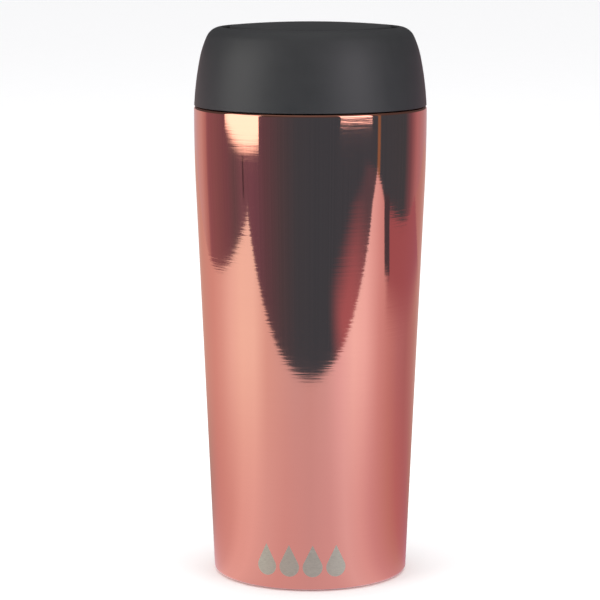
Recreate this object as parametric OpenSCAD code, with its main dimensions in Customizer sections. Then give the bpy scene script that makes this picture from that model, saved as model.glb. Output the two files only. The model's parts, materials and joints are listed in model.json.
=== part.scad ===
// Double-walled vacuum tumbler with a screw-in lid that opens all round when its top is pressed.
// Every piece is drawn in its closed, resting place. The origin is at the middle of the foot, +Z up.

/* [Cup] */
// Height of the steel cup from the table to its rim
cup_h = 169.2; // [140:0.1:205]
// Outer diameter of the cup at its mouth
mouth_d = 83; // [69:0.5:100]
// Outer diameter that the tapered wall has at table level
base_d = 69.7; // [58:0.1:84]
// Height of the upright band below the rim
mouth_land = 3.2; // [2:0.1:6]
// Height over which the taper bends upright below that band
bend_h = 27.4; // [15:0.1:40]
// Thickness of the outer steel wall
shell_wall = 0.6; // [0.5:0.05:0.8]
// Thickness of the inner steel wall
liner_wall = 0.5; // [0.4:0.05:0.6]
// Width of the vacuum space between the walls
vacuum_gap = 2.8; // [2.2:0.1:3.4]
// Rounding of the rim's outer edge
rim_round = 1; // [0.8:0.1:1.2]
// Rounding inside the bottom corner of the cup
floor_round = 9; // [6:0.5:12]

/* [Foot] */
// Gap between the table and the steel wall's lower edge
foot_lift = 0.5; // [0.4:0.1:0.8]
// Height of the rolled hem inside the lower edge
hem_h = 4.5; // [3.8:0.1:5.5]
// Width of the rolled lower edge
hem_w = 2.3; // [1.9:0.1:2.8]
// Height of the silicone foot ring
pad_h = 1.4; // [1.2:0.1:1.7]
// Width of the silicone foot ring
pad_w = 8.5; // [7:0.5:10]

/* [Lid] */
// Height of the lid from its lower edge to the drinking rim
lid_h = 27.6; // [23:0.1:34]
// Rise of the button's crown above the drinking rim
crown_h = 1.5; // [1.2:0.1:1.8]
// Gap between the cup's rim and the lid
lid_gap = 0.4; // [0.3:0.1:0.5]
// Thickness of the lid's outer skin
collar_wall = 2.2; // [1.8:0.1:2.6]
// Radius of the corner between the lid's side and top
corner_r = 5.9; // [4.9:0.1:7.1]
// Width of the drinking gap round the button
channel_w = 2.6; // [2.2:0.1:3.1]
// Depth of the plug below the cup's rim
plug_depth = 19.2; // [17:0.1:23]
// Thickness of the plug's wall
plug_wall = 2.6; // [2.2:0.1:3.1]

/* [Neck thread] */
// Number of thread starts
thread_starts = 3; // [2:1:3]
// Rise of the lid for one full turn
thread_lead = 12; // [10:0.5:14.4]
// Height of a thread ridge
ridge_h = 1; // [0.8:0.05:1.2]
// Turn that one ridge covers, in degrees
ridge_sweep = 108; // [90:6:114]

/* [Button and valve] */
// Full travel of the button
travel = 5; // [4.2:0.1:5.5]
// Travel at which the button stays latched open
latch_travel = 3.45; // [2.9:0.05:3.6]
// Diameter of the valve stem
stem_d = 7.2; // [6:0.1:8.6]
// Outer radius of the click mechanism's sleeve
sleeve_r = 11.2; // [10.4:0.1:13]
// Thickness of the sleeve's wall
sleeve_wall = 1.6; // [1.3:0.1:1.9]
// Diameter of the spring wire
wire_d = 0.8; // [0.7:0.05:0.95]

/* [Hidden] */
$fn = 96;

ROSE = "#d68a78";
STEEL = "#b9bcbe";
BLACK = "#3d3e40";
RUBBER = "#55585a";

slip = 0.1;       // play of a piece that slides or turns
play = 0.2;       // looser play between moving plastic pieces

mouth_r = mouth_d / 2;
base_r = base_d / 2;
bend_top = cup_h - mouth_land;
bend_foot = bend_top - bend_h;
taper = (mouth_r - base_r) / (bend_top - bend_h / 2);

// Outer radius of the cup at height z: a cone that bends smoothly into an upright band.
function wall_r(z) =
    z < bend_foot ? base_r + taper * z
  : z < bend_top ? base_r + taper * z - taper * pow(z - bend_foot, 2) / (2 * bend_h)
  : mouth_r;

// Points of a circular arc, from angle a to angle b.
function arc(x, y, r, a, b, steps = 8) =
    [for (i = [0:steps]) let (t = a + (b - a) * i / steps) [x + r * cos(t), y + r * sin(t)]];

// Points up or down the cup's wall, set inwards by inset, with steps through the bend.
bend_steps = 8;
function wall_points(low, high, inset) =
    concat([[wall_r(low) - inset, low]],
           [for (i = [0:bend_steps]) let (z = bend_foot + bend_h * i / bend_steps)
               [wall_r(z) - inset, z]],
           [[wall_r(high) - inset, high]]);
function reversed(points) = [for (i = [len(points) - 1:-1:0]) points[i]];

// Radii through the double wall at the mouth.
liner_inset = shell_wall + vacuum_gap + liner_wall;
neck_r = mouth_r - liner_inset;
rim_split_r = mouth_r - shell_wall - 1.1;

// Heights through the foot.
foot_round = 1.2;
foot_r = wall_r(foot_lift);
hem_r = foot_r - hem_w;
hem_top = foot_lift + hem_h;
base_top = hem_top + shell_wall;
cover_r = hem_r - shell_wall;
cover_skirt_h = 2.4;
bead_hole_r = 1.2;
bead_r = 2.6;
bead_drop = 1.2;
getter_r = 4;
getter_h = 1.8;
getter_x = 14;
clip_wall = 0.4;
clip_lip = 0.8;
floor_gap = 3.3;
floor_z = base_top + floor_gap + liner_wall;

module revolved(points) {
    rotate_extrude() polygon(points);
}

module tube(outer, inner, low, high) {
    translate([0, 0, low])
        difference() {
            cylinder(r = outer, h = high - low);
            translate([0, 0, -1]) cylinder(r = inner, h = high - low + 2);
        }
}

// ---- cup ----

module outer_shell() {
    color(ROSE)
        revolved(concat(
            arc(foot_r - foot_round, foot_lift + foot_round, foot_round, -90, 0),
            wall_points(foot_lift + foot_round + 0.5, cup_h - rim_round - 0.2, 0),
            arc(mouth_r - rim_round, cup_h - rim_round, rim_round, 0, 90),
            [[rim_split_r, cup_h], [rim_split_r, cup_h - shell_wall]],
            arc(mouth_r - rim_round, cup_h - rim_round, rim_round - shell_wall, 90, 0),
            reversed(wall_points(foot_lift + foot_round + 0.5, cup_h - rim_round - 0.2, shell_wall)),
            arc(foot_r - foot_round, foot_lift + foot_round, foot_round - shell_wall, 0, -90),
            [[hem_r + shell_wall, foot_lift + shell_wall], [hem_r + shell_wall, hem_top],
             [hem_r, hem_top], [hem_r, foot_lift]]));
}

// One thread ridge: a trapezium carried up a helix, lower at both ends so that it starts easily.
sweep_step = 6;
fade_steps = 4;
module ridge(root_r, crest_r, z_mid, root_w, crest_w) {
    steps = ridge_sweep / sweep_step;
    sections = [for (i = [0:steps])
        let (a = i * sweep_step,
             z = z_mid + thread_lead * a / 360,
             full = min(1, 0.4 + 0.6 * min(i, steps - i) / fade_steps),
             crest = root_r + (crest_r - root_r) * full)
        [[root_r * cos(a), root_r * sin(a), z - root_w / 2],
         [crest * cos(a), crest * sin(a), z - crest_w / 2],
         [crest * cos(a), crest * sin(a), z + crest_w / 2],
         [root_r * cos(a), root_r * sin(a), z + root_w / 2]]];
    points = [for (s = sections) for (p = s) p];
    outward = crest_r > root_r;
    sides = [for (i = [0:steps - 1]) for (j = [0:3])
        let (k = (j + 1) % 4, a = 4 * i + j, b = 4 * i + k, c = 4 * i + 4 + k, d = 4 * i + 4 + j)
        each [[a, b, c], [a, c, d]]];
    last = 4 * steps;
    ends = [[0, 3, 2], [0, 2, 1], [last, last + 1, last + 2], [last, last + 2, last + 3]];
    faces = concat(sides, ends);
    polyhedron(points, outward ? faces : [for (f = faces) reversed(f)], convexity = 6);
}

// The ridges are evenly spaced and start a little past the +X direction.
first_start = 3;
module thread(root_r, crest_r, z_mid) {
    for (i = [0:thread_starts - 1])
        rotate([0, 0, first_start + i * 360 / thread_starts])
            ridge(root_r, crest_r, z_mid, 1.8, 0.9);
}

pitch = thread_lead / thread_starts;
plug_r = neck_r - ridge_h - 0.4;
plug_bottom = cup_h - plug_depth;
thread_rise = 3.6;     // from the plug's lower edge to where the first ridge starts
male_z = plug_bottom + thread_rise;
female_z = male_z + pitch / 2;
root_sink = 0.2;

module inner_liner() {
    bottom_r = wall_r(floor_z + floor_round) - liner_inset;
    lip_r = 1;
    color(STEEL)
        union() {
            revolved(concat(
                [[0, floor_z - liner_wall]],
                arc(bottom_r - floor_round, floor_z + floor_round, floor_round + liner_wall, -90, 0),
                wall_points(floor_z + floor_round + 1, cup_h - lip_r - 0.2, liner_inset - liner_wall),
                arc(neck_r + lip_r, cup_h - lip_r, lip_r - liner_wall, 180, 90),
                [[rim_split_r, cup_h - liner_wall], [rim_split_r, cup_h]],
                arc(neck_r + lip_r, cup_h - lip_r, lip_r, 90, 180),
                reversed(wall_points(floor_z + floor_round + 1, cup_h - lip_r - 0.2, liner_inset)),
                arc(bottom_r - floor_round, floor_z + floor_round, floor_round, 0, -90),
                [[0, floor_z]]));
            thread(neck_r + root_sink, neck_r - ridge_h, female_z);
        }
}

foil_wall = 0.15;
module heat_shield() {
    low = floor_z + floor_round + 3;
    high = bend_foot - 6;
    inset = liner_inset - liner_wall;
    color("#b8734c")
        revolved([[wall_r(low) - inset, low], [wall_r(low) - inset + foil_wall, low],
                  [wall_r(high) - inset + foil_wall, high], [wall_r(high) - inset, high]]);
}

module vacuum_base() {
    color(STEEL)
        revolved([[bead_hole_r, hem_top], [cover_r, hem_top], [cover_r, foot_lift + pad_h],
                  [hem_r, foot_lift + pad_h], [hem_r, hem_top], [hem_r + shell_wall, hem_top],
                  [hem_r + shell_wall, base_top], [bead_hole_r, base_top]]);
}

module getter_pill() {
    color("#6f6f72")
        translate([getter_x, 0, base_top]) cylinder(r = getter_r, h = getter_h);
}

module getter_clip() {
    color("silver")
        translate([getter_x, 0, base_top])
            revolved([[getter_r, 0], [getter_r + clip_wall, 0],
                      [getter_r + clip_wall, getter_h + clip_wall],
                      [getter_r - clip_lip, getter_h + clip_wall],
                      [getter_r - clip_lip, getter_h], [getter_r, getter_h]]);
}

module seal_bead() {
    color("#8d8f92")
        revolved([[0, base_top], [bead_hole_r, base_top], [bead_hole_r, hem_top], [bead_r, hem_top],
                  [bead_r * 0.8, hem_top - bead_drop * 0.6], [bead_r * 0.45, hem_top - bead_drop * 0.92],
                  [0, hem_top - bead_drop]]);
}

module base_cover() {
    color(STEEL)
        revolved([[0, pad_h], [cover_r, pad_h], [cover_r, pad_h + cover_skirt_h],
                  [cover_r - shell_wall, pad_h + cover_skirt_h],
                  [cover_r - shell_wall, pad_h + shell_wall], [0, pad_h + shell_wall]]);
}

pad_round = 0.5;
module foot_pad() {
    outer = cover_r - 2.4;
    inner = outer - pad_w;
    color(RUBBER)
        revolved(concat(arc(outer - pad_round, pad_round, pad_round, -90, 0, 5),
                        [[outer, pad_h], [inner, pad_h]],
                        arc(inner + pad_round, pad_round, pad_round, 180, 270, 5)));
}

// ---- lid ----

lid_low = cup_h + lid_gap;
rim_z = lid_low + lid_h;
collar_foot_r = mouth_r - 0.1;

// The lid's side is three arcs, each tangent to the next. Angles are the wall's lean from upright.
lean_foot = 3;
lean_side = 11.4;
lean_shoulder = 24.8;
lean_crest = 84.6;
shoulder_r = 34.4;
side_h = lid_h - shoulder_r * (sin(lean_shoulder) - sin(lean_side))
         - corner_r * (sin(lean_crest) - sin(lean_shoulder));
side_r = side_h / (sin(lean_side) - sin(lean_foot));
side_x = collar_foot_r - side_r * cos(lean_foot);
side_z = lid_low - side_r * sin(lean_foot);
shoulder_x = side_x + (side_r - shoulder_r) * cos(lean_side);
shoulder_z = side_z + (side_r - shoulder_r) * sin(lean_side);
corner_x = shoulder_x + (shoulder_r - corner_r) * cos(lean_shoulder);
corner_z = shoulder_z + (shoulder_r - corner_r) * sin(lean_shoulder);
crest_r = corner_x + corner_r * cos(lean_crest);

// The collar's side, set inwards by inset, from its lower edge up to the shoulder's end.
function collar_side(inset, from = lean_foot) =
    concat(arc(side_x, side_z, side_r - inset, from, lean_side, 6),
           arc(shoulder_x, shoulder_z, shoulder_r - inset, lean_side + 2, lean_shoulder, 4));

lip_round = 0.7;
lip_wall = 2;
lip_in_r = crest_r - lip_round - 0.05;
lip_drop = 9.2;        // from the drinking rim down to the lip's lower edge
lip_low = rim_z - lip_drop;
lap_h = 3;
flange_r = collar_foot_r - collar_wall - 0.3;
flange_h = 2.2;

module lid_collar() {
    rebate_top = lid_low + flange_h + 0.2;
    from = lean_foot + asin((flange_h + 0.6) / side_r);
    color(BLACK)
        revolved(concat(
            arc(collar_foot_r - 0.5, lid_low + 0.5, 0.5, -90, 0, 4),
            collar_side(0, lean_foot + 0.5),
            arc(corner_x, corner_z, corner_r, lean_shoulder + 4, lean_crest, 10),
            arc(lip_in_r + lip_round, rim_z - lip_round, lip_round, 90, 180, 6),
            [[lip_in_r, lip_low], [lip_in_r + lip_wall / 2, lip_low],
             [lip_in_r + lip_wall / 2, lip_low + lap_h], [lip_in_r + lip_wall, lip_low + lap_h],
             [lip_in_r + lip_wall, corner_z + 1]],
            reversed(collar_side(collar_wall, from)),
            [[flange_r, rebate_top], [flange_r, lid_low]]));
}

groove_h = 3.2;
groove_deep = 0.9;
groove_drop = 3.6;     // from the cup's rim down to the gasket's groove
groove_low = cup_h - groove_drop;
gasket_play = 0.05;
seat_r = lip_in_r - 0.3;
seat_h = 3;
plug_in_r = plug_r - plug_wall;
hub_wall = 2.2;
hub_low = plug_bottom + 6;
hub_top = hub_low + 10;
rib_wall = 2;

module lid_core() {
    color("#47484a")
        union() {
            revolved([
                [seat_r, plug_bottom], [plug_r, plug_bottom],
                [plug_r, groove_low], [plug_r - groove_deep, groove_low],
                [plug_r - groove_deep, groove_low + groove_h], [plug_r, groove_low + groove_h],
                [plug_r, lid_low], [flange_r, lid_low], [flange_r, lid_low + flange_h],
                [lip_in_r + lip_wall, lid_low + flange_h], [lip_in_r + lip_wall, lip_low + lap_h],
                [lip_in_r + lip_wall / 2, lip_low + lap_h], [lip_in_r + lip_wall / 2, lip_low],
                [lip_in_r, lip_low], [lip_in_r, lid_low],
                [plug_in_r, groove_low + 0.5], [plug_in_r, plug_bottom + seat_h],
                [seat_r, plug_bottom + seat_h]]);
            tube(sleeve_r + hub_wall, sleeve_r, hub_low, hub_top);
            for (a = [45:90:315])
                rotate([0, 0, a])
                    translate([sleeve_r + hub_wall / 2, -rib_wall / 2, hub_low + 1])
                        cube([plug_in_r - sleeve_r - hub_wall / 2 + 0.5, rib_wall, hub_top - hub_low - 2]);
            thread(plug_r - root_sink, plug_r + ridge_h, male_z);
        }
}

module neck_gasket() {
    inner = plug_r - groove_deep + gasket_play;
    outer = neck_r - slip;
    low = groove_low + play;
    high = groove_low + groove_h - play;
    fin = (high - low) / 5;
    color("#8a8d90")
        revolved([[inner, low], [outer, low], [outer, low + fin], [outer - 0.7, low + fin],
                  [outer - 0.7, low + 2 * fin], [outer, low + 2 * fin], [outer, low + 3 * fin],
                  [outer - 0.7, low + 3 * fin], [outer - 0.7, low + 4 * fin], [outer, low + 4 * fin],
                  [outer, high], [inner, high]]);
}

// ---- click mechanism ----

stem_r = stem_d / 2;
bore_r = sleeve_r - sleeve_wall;
sleeve_low = hub_low - 1.5;
sleeve_floor = hub_low + 1;
spring_low = sleeve_floor;
button_wall = 3.1;
skirt_drop = 8.2;      // from the drinking rim down to the button's skirt
button_under = rim_z + crown_h - button_wall;
button_skirt_low = rim_z - skirt_drop;
boss_low = button_skirt_low + 1;
sleeve_top = boss_low - travel - 1;
lug_top = sleeve_floor + 18;
lug_h = 3;
rib_low = lug_top - latch_travel;
rib_in_r = bore_r - 0.75;
rib_angle = 15;
lug_angle = 12;
rotor_low = lug_top - 6.9;
washer_h = 0.6;
washer_low = rotor_low - slip - washer_h;
rotor_top = lug_top + 2.4;
tooth_h = 1.4;
pusher_r = rib_in_r - 0.25;
pusher_low = rotor_top + play;
ledge_z = sleeve_top + 2;
seal_h = 1.2;
seal_r = stem_r + 1.8;

// A slice of a ring, centred on the +X direction.
module ring_slice(outer, inner, low, high, angle) {
    rotate([0, 0, -angle / 2])
        translate([0, 0, low])
            rotate_extrude(angle = angle)
                translate([inner, 0]) square([outer - inner, high - low]);
}

module click_sleeve() {
    color("#d9d6cc")
        union() {
            revolved([[stem_r + play, sleeve_low], [sleeve_r, sleeve_low], [sleeve_r, hub_top],
                      [sleeve_r + hub_wall, hub_top], [sleeve_r + hub_wall, hub_top + 1.4],
                      [sleeve_r, hub_top + 1.4], [sleeve_r, sleeve_top], [bore_r, sleeve_top],
                      [bore_r, sleeve_floor], [stem_r + play, sleeve_floor],
                      [stem_r + play, sleeve_low + 0.7 + seal_h], [seal_r, sleeve_low + 0.7 + seal_h],
                      [seal_r, sleeve_low + 0.7], [stem_r + play, sleeve_low + 0.7]]);
            for (a = [45:90:315])
                rotate([0, 0, a])
                    ring_slice(bore_r + 0.3, rib_in_r, rib_low, sleeve_top, rib_angle);
        }
}

module stem_seal() {
    color(RUBBER) tube(seal_r, stem_r + slip, sleeve_low + 0.7, sleeve_low + 0.7 + seal_h);
}

// Eight slanted notches cut round the end of a tube: each is a wedge that points to the axis.
module notches(z, up) {
    for (i = [0:7])
        rotate([0, 0, i * 45])
            translate([0, 0, z])
                rotate([90, 0, 90])
                    linear_extrude(height = 2 * pusher_r)
                        polygon([[-2.2, 0], [2.2, 0], [0.6, up * tooth_h]]);
}

module pusher() {
    color("#d9d6cc")
        difference() {
            revolved([[stem_r, pusher_low], [pusher_r, pusher_low], [pusher_r, button_under],
                      [stem_r + 1.6, button_under], [stem_r + 1.6, ledge_z], [stem_r, ledge_z]]);
            notches(pusher_low, 1);
        }
}

module click_rotor() {
    color("#e8e4d8")
        union() {
            difference() {
                tube(pusher_r - 0.2, stem_r + slip, rotor_low, rotor_top);
                notches(rotor_top, -1);
            }
            for (a = [0:90:270])
                rotate([0, 0, a])
                    ring_slice(bore_r - play, pusher_r - 0.6, lug_top - lug_h, lug_top, lug_angle);
        }
}

module thrust_washer() {
    color("silver") tube(stem_r + 3.8, stem_r, washer_low, washer_low + washer_h);
}

coil_turns = 4.5;
coil_steps = 20;
coil_sides = 8;
module return_spring() {
    mean_r = stem_r + 1.8;
    low = spring_low + wire_d / 2 + 0.05;
    high = washer_low - wire_d / 2 - 0.05;
    count = coil_turns * coil_steps;
    points = [for (i = [0:count]) for (j = [0:coil_sides - 1])
        let (a = i * 360 / coil_steps, b = j * 360 / coil_sides,
             r = mean_r + wire_d / 2 * cos(b),
             z = low + (high - low) * i / count + wire_d / 2 * sin(b))
        [r * cos(a), r * sin(a), z]];
    sides = [for (i = [0:count - 1]) for (j = [0:coil_sides - 1])
        let (k = (j + 1) % coil_sides, a = coil_sides * i + j, b = coil_sides * i + k,
             c = coil_sides * (i + 1) + k, d = coil_sides * (i + 1) + j)
        each [[a, b, c], [a, c, d]]];
    first_end = [for (j = [coil_sides - 1:-1:0]) j];
    last_end = [for (j = [0:coil_sides - 1]) coil_sides * count + j];
    color("silver") polyhedron(points, concat(sides, [first_end, last_end]), convexity = 10);
}

// ---- button ----

button_r = lip_in_r - channel_w;
crown_radius = (pow(crest_r, 2) + pow(crown_h, 2)) / (2 * crown_h);
crown_mid = rim_z + crown_h - crown_radius;
button_round = 0.8;

module button_cap() {
    skirt_wall = 2;
    edge_angle = acos((button_r - button_round) / crown_radius);
    edge_z = crown_mid + crown_radius * sin(edge_angle);
    color(BLACK)
        revolved(concat(
            [[0, button_under], [pusher_r, button_under], [pusher_r, boss_low],
             [pusher_r + 1.8, boss_low], [pusher_r + 1.8, button_under],
             [button_r - skirt_wall, button_under], [button_r - skirt_wall, button_skirt_low],
             [button_r, button_skirt_low]],
            arc(button_r - button_round, edge_z - button_round, button_round, 0, 80, 5),
            arc(0, crown_mid, crown_radius, edge_angle, 90, 8)));
}

// ---- valve ----

valve_drop = 4.2;      // from the plug's lower edge to the valve's underside
ledge_drop = 2.6;      // from the plug's lower edge to the ledge of the valve's seal
valve_low = plug_bottom - valve_drop;
valve_ledge = plug_bottom - ledge_drop;
valve_seal_r = seat_r + 2.2;
ring_in_r = seat_r - 0.6;
hub_r = 7;
stem_low = plug_bottom - 3;
screw_r = 1.5;
screw_head_r = 3.2;
screw_head_h = 1.5;
screw_grip = 9;
screw_boss_h = 1.6;
screw_seat = valve_low - screw_boss_h;
clip_z = ledge_z;
clip_h = 0.8;
clip_in_r = stem_r - 0.8;

module valve_stem() {
    top = ledge_z + 3.2;
    color("#e8e4d8")
        revolved([[screw_r, stem_low], [stem_r, stem_low], [stem_r, clip_z], [clip_in_r, clip_z],
                  [clip_in_r, clip_z + clip_h], [stem_r, clip_z + clip_h], [stem_r, top - 0.6],
                  [stem_r - 0.6, top], [0, top], [0, stem_low + screw_grip],
                  [screw_r, stem_low + screw_grip]]);
}

module stem_clip() {
    outer = stem_r + 1.4;
    color("silver")
        difference() {
            tube(outer, clip_in_r, clip_z, clip_z + clip_h);
            translate([0, -clip_in_r * 0.8, clip_z - 1])
                cube([outer + 1, clip_in_r * 1.6, clip_h + 2]);
        }
}

module valve_disc() {
    color("#47484a")
        revolved([[screw_r, screw_seat], [hub_r, screw_seat], [hub_r + 1.6, valve_low],
                  [valve_seal_r - 0.6, valve_low], [valve_seal_r - 0.6, valve_ledge],
                  [ring_in_r, valve_ledge], [ring_in_r, plug_bottom - 0.6],
                  [ring_in_r - 1.4, plug_bottom - 0.6], [ring_in_r - 2.4, valve_ledge],
                  [hub_r + 1.2, valve_ledge], [hub_r, plug_bottom + 1],
                  [stem_r, plug_bottom + 1], [stem_r, stem_low], [screw_r, stem_low]]);
}

module valve_seal() {
    color(RUBBER)
        revolved([[ring_in_r, valve_ledge], [valve_seal_r, valve_ledge],
                  [valve_seal_r, valve_ledge + 1.2], [valve_seal_r - 0.7, plug_bottom - 0.05],
                  [ring_in_r, plug_bottom - 0.05]]);
}

module valve_screw() {
    color("silver")
        difference() {
            union() {
                translate([0, 0, screw_seat])
                    cylinder(r = screw_r, h = stem_low + screw_grip - screw_seat - 0.5);
                translate([0, 0, screw_seat - screw_head_h])
                    cylinder(r = screw_head_r, h = screw_head_h);
            }
            for (a = [0, 90])
                rotate([0, 0, a])
                    translate([-2, -0.4, screw_seat - screw_head_h - 1]) cube([4, 0.8, 1.8]);
        }
}

outer_shell();
inner_liner();
heat_shield();
vacuum_base();
getter_pill();
getter_clip();
seal_bead();
base_cover();
foot_pad();
neck_gasket();
lid_collar();
lid_core();
click_sleeve();
stem_seal();
button_cap();
pusher();
click_rotor();
thrust_washer();
return_spring();
valve_stem();
stem_clip();
valve_disc();
valve_seal();
valve_screw();
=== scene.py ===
# %% [markdown]
# # A vacuum tumbler with a mirror wall and a press-top lid
# The tumbler is two thin steel cups, one inside the other, closed by a screw-in lid whose domed top is
# a button. Its real sizes and its moving bodies come from an engineering model, which is loaded here as
# a fixed frame. This script gives that frame its looks: the large turned pieces are made again with
# smooth outlines, and every surface gets a finish built from nodes.

# %% Load the frame
import json
import math

import bmesh
import bpy
from mathutils import Matrix, Vector


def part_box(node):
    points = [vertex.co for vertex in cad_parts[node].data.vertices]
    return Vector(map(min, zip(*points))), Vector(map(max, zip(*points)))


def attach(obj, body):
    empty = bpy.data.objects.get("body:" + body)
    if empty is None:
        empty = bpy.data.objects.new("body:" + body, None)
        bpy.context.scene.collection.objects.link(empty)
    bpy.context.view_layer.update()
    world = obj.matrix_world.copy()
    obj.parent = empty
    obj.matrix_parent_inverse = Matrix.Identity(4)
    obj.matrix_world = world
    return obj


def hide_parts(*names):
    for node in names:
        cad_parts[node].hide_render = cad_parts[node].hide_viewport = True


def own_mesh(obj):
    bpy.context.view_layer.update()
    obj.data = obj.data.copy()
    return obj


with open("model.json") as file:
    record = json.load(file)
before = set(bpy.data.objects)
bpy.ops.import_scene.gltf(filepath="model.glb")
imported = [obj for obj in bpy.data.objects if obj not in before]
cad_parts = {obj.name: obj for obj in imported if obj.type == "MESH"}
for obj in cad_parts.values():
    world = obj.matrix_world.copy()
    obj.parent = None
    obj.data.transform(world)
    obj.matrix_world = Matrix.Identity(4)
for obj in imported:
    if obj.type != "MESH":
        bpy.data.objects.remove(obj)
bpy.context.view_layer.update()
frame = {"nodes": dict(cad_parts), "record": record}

# %% [markdown]
# ## Which finish and which body a piece belongs to
# The record that comes with the frame names the finish of every piece and the rigid body that carries
# it. Reading both from the record keeps the two models in step.

# %% Look up finishes and bodies
MM = 0.001
finish_name = {part["node"]: part["material_slot"] for part in frame["record"]["subparts"]}
body_name = {}
for body, members in frame["record"]["behaviour"]["bodies"].items():
    for member in members:
        body_name[member] = body

# %% [markdown]
# ## Shader maths as plain expressions
# Most finishes here mix two or three random patterns. Math nodes can be wired one by one, but a finish
# is easier to read when its maths looks like maths. `Signal` wraps one output socket, and its operators
# add the Math nodes, so that `1 - mask` can be written as it stands.

# %% Signal
class Signal:
    """One output of a node, which can stand in an arithmetic expression."""

    def __init__(self, finish, socket):
        self.finish = finish
        self.socket = socket

    def __add__(self, other):
        return self.finish.math("ADD", self, other)

    def __sub__(self, other):
        return self.finish.math("SUBTRACT", self, other)

    def __rsub__(self, other):
        return self.finish.math("SUBTRACT", other, self)

    def __mul__(self, other):
        return self.finish.math("MULTIPLY", self, other)

    def __truediv__(self, other):
        return self.finish.math("DIVIDE", self, other)

    def __lt__(self, other):
        return self.finish.math("LESS_THAN", self, other)

    def __gt__(self, other):
        return self.finish.math("GREATER_THAN", self, other)

    __radd__ = __add__
    __rmul__ = __mul__


print("a signal understands", [name.strip("_") for name in vars(Signal) if name.startswith("__r")])

# %% [markdown]
# ## A finish and its nodes
# A finish is one material. Its `node` method makes any node: the settings come first, because some of
# them change which sockets there are, and then the sockets. The methods below it are the few patterns
# that the tumbler needs, all in millimetres, so that a pattern has the same size on every piece.

# %% Finish
class Finish:
    """A material, and the ways to add nodes to it."""

    def __init__(self, name):
        self.material = bpy.data.materials.new(name)
        self.material.use_nodes = True
        self.tree = self.material.node_tree
        self.tree.nodes.clear()

    def plug(self, socket, value):
        if isinstance(value, Signal):
            self.tree.links.new(value.socket, socket)
        elif socket.type == "RGBA":
            socket.default_value = (*value, 1)
        else:
            socket.default_value = value

    def node(self, kind, settings, sockets, output=0):
        made = self.tree.nodes.new(kind)
        for name, value in settings.items():
            if name == "stops":
                while len(made.color_ramp.elements) < len(value):
                    made.color_ramp.elements.new(1)
                for stop, (place, colour) in zip(made.color_ramp.elements, value):
                    stop.position = place
                    stop.color = (*colour, 1)
            else:
                setattr(made, name, value)
        for name, value in sockets.items():
            self.plug(made.inputs[name], value)
        return Signal(self, made.outputs[output]) if made.outputs else made

    def math(self, operation, *values):
        return self.node("ShaderNodeMath", {"operation": operation}, dict(enumerate(values)))

    def place(self):
        """The x, y and z of a surface point, in millimetres."""
        coordinates = self.node("ShaderNodeTexCoord", {}, {}, "Object")
        apart = {"Vector": coordinates}
        return [self.node("ShaderNodeSeparateXYZ", {}, apart, axis) * 1000 for axis in "XYZ"]

    def around(self):
        """The direction from the axis in radians: 0 at the front, and more to the right."""
        x, y, z = self.place()
        return self.math("ARCTAN2", x, y * -1)

    def noise(self, size, detail=2, roughness=0.5, stretch=(1, 1, 1)):
        """Soft random values from 0 to 1, with blobs about size millimetres wide."""
        coordinates = self.node("ShaderNodeTexCoord", {}, {}, "Object")
        scaled = self.node(
            "ShaderNodeMapping", {}, {"Vector": coordinates, "Scale": Vector(stretch) * (1000 / size)}
        )
        sockets = {"Vector": scaled, "Scale": 1, "Detail": detail, "Roughness": roughness}
        return self.node("ShaderNodeTexNoise", {}, sockets)

    def lines(self, along, size, detail=2):
        """Random values from 0 to 1 that change only along one measure, every size millimetres or so."""
        sockets = {"W": along * (1 / size), "Scale": 1, "Detail": detail}
        return self.node("ShaderNodeTexNoise", {"noise_dimensions": "1D"}, sockets)

    def mix(self, share, first, second):
        """A colour between two."""
        sockets = {0: share, 6: first, 7: second}
        return self.node("ShaderNodeMix", {"data_type": "RGBA"}, sockets, 2)

    def bump(self, height, depth):
        """The normal of a surface whose relief is height times depth millimetres."""
        sockets = {"Strength": 1, "Distance": depth * MM, "Height": height}
        return self.node("ShaderNodeBump", {}, sockets)

    def surface(self, **sockets):
        """The finished surface. A socket's name has _ for each space."""
        named = {name.replace("_", " "): value for name, value in sockets.items()}
        shader = self.node("ShaderNodeBsdfPrincipled", {}, named)
        self.node("ShaderNodeOutputMaterial", {}, {"Surface": shader})
        return self.material


finishes = {}


def keep(name, material):
    """Keep a finish under its name in the record."""
    finishes[name] = material
    print("finish", name, "has", len(material.node_tree.nodes), "nodes")


print("a finish can make", [name for name in vars(Finish) if not name.startswith("_")])

# %% [markdown]
# ## A row of etched drops
# Near the foot a small row of plain drops is etched through the wall's coating to the bare steel, as a
# maker's decoration. It could be a picture wrapped round the wall, but a drop is simple enough for
# maths: a circle, and a cone of two straight lines that touch it and meet at the tip. One drop is
# repeated along the wall by wrapping the distance round it.

# %% Mask of the etched drops
DROP_COUNT = 4
DROP_SPACING = 8.3
DROP_MIDDLE = -3.4
DROP_LOW = 5.4
DROP_TALL = 11.6
DROP_RADIUS = 3.5
WALL_RADIUS = 35


def drop_mask(finish):
    """1 inside the row of drops on the front of the wall, and 0 elsewhere."""
    z = finish.place()[2]
    along = finish.around() * WALL_RADIUS - DROP_MIDDLE
    start = DROP_COUNT * DROP_SPACING / 2
    within = finish.math("ABSOLUTE", along) < start
    aside = finish.math("WRAP", along + start, DROP_SPACING, 0) - DROP_SPACING / 2
    centre = DROP_LOW + DROP_RADIUS
    tip = DROP_LOW + DROP_TALL
    lean = math.asin(DROP_RADIUS / (tip - centre))
    above = z - centre
    belly = (aside * aside + above * above) < DROP_RADIUS ** 2
    point = finish.math("ABSOLUTE", aside) < (tip - z) * math.tan(lean)
    upper = z > centre + DROP_RADIUS * math.sin(lean)
    return finish.math("MAXIMUM", belly, point * upper) * within


print("the row of drops is", round(DROP_COUNT * DROP_SPACING, 1), "mm long and", DROP_TALL, "mm tall")

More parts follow.
